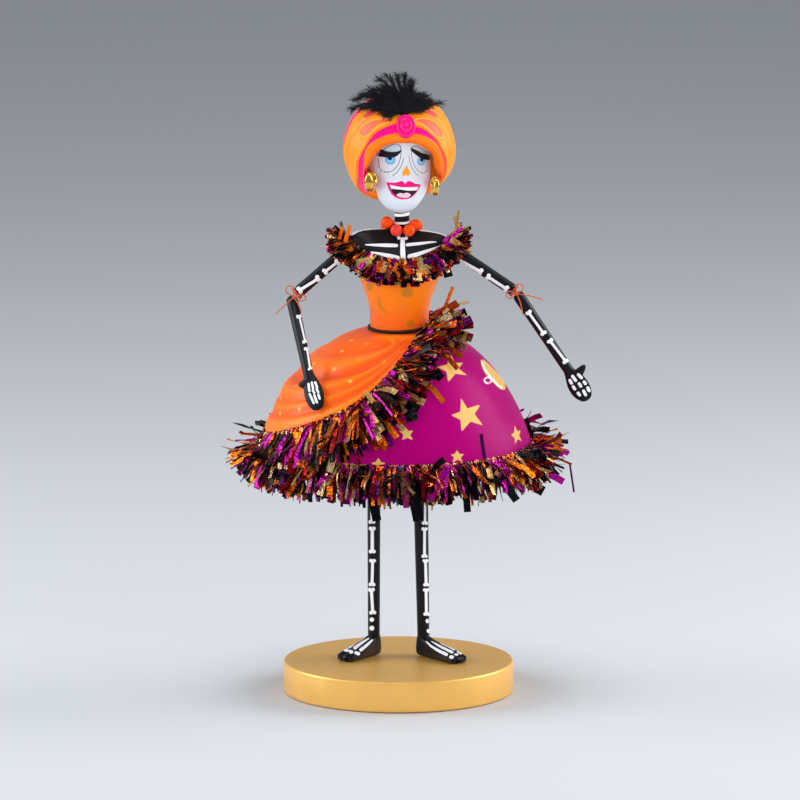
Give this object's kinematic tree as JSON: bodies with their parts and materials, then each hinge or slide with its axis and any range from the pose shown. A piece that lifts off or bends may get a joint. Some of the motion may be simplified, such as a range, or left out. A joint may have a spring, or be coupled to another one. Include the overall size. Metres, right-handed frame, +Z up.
{
  "type": "skeleton fortune teller figure",
  "caption": "Standing skeleton fortune teller doll with turban, feather plume, bead necklace, domed skirt and foil fringes on a round gold stand.",
  "frame": {"origin": "centre of the underside of the round base", "axes": "+Z up; the figure faces -Y, so its right hand is on the -X side"},
  "size_m": [0.2562, 0.2406, 0.4405],
  "materials": {
    "gold_stand": "satin metallic gold paint",
    "black_paint": "satin black paint with white bones painted on",
    "skirt_paint": "satin magenta paint with gold stars; orange overskirt with gold dots",
    "bodice_paint": "satin orange paint; black chest with white bones painted on",
    "black_cord": "matte black cord",
    "head_paint": "satin orange turban with pink layers; white face with painted features",
    "gold_jewellery": "polished gold",
    "orange_beads": "matte orange red paint",
    "black_feathers": "soft black down",
    "orange_thread": "waxed thread",
    "foil_tinsel": "metallic foil film in orange gold, magenta, black and pale gold"
  },
  "bodies": {
    "root": {"base": "gold_stand", "right_leg": "black_paint", "left_leg": "black_paint", "skirt": "skirt_paint", "torso": "bodice_paint", "waist_cord": "black_cord", "head": "head_paint", "right_earring": "gold_jewellery", "left_earring": "gold_jewellery", "bead_1": "orange_beads", "bead_2": "orange_beads", "bead_3": "orange_beads", "bead_4": "orange_beads", "bead_5": "orange_beads", "bead_6": "orange_beads", "bead_7": "orange_beads", "bead_8": "orange_beads", "feather_plume": "black_feathers", "right_upper_arm": "black_paint", "right_forearm": "black_paint", "right_elbow_bow": "orange_thread", "left_upper_arm": "black_paint", "left_forearm": "black_paint", "left_elbow_bow": "orange_thread", "hem_fringe": "foil_tinsel", "drape_fringe": "foil_tinsel", "neckline_fringe": "foil_tinsel"}
  },
  "joints": []
}
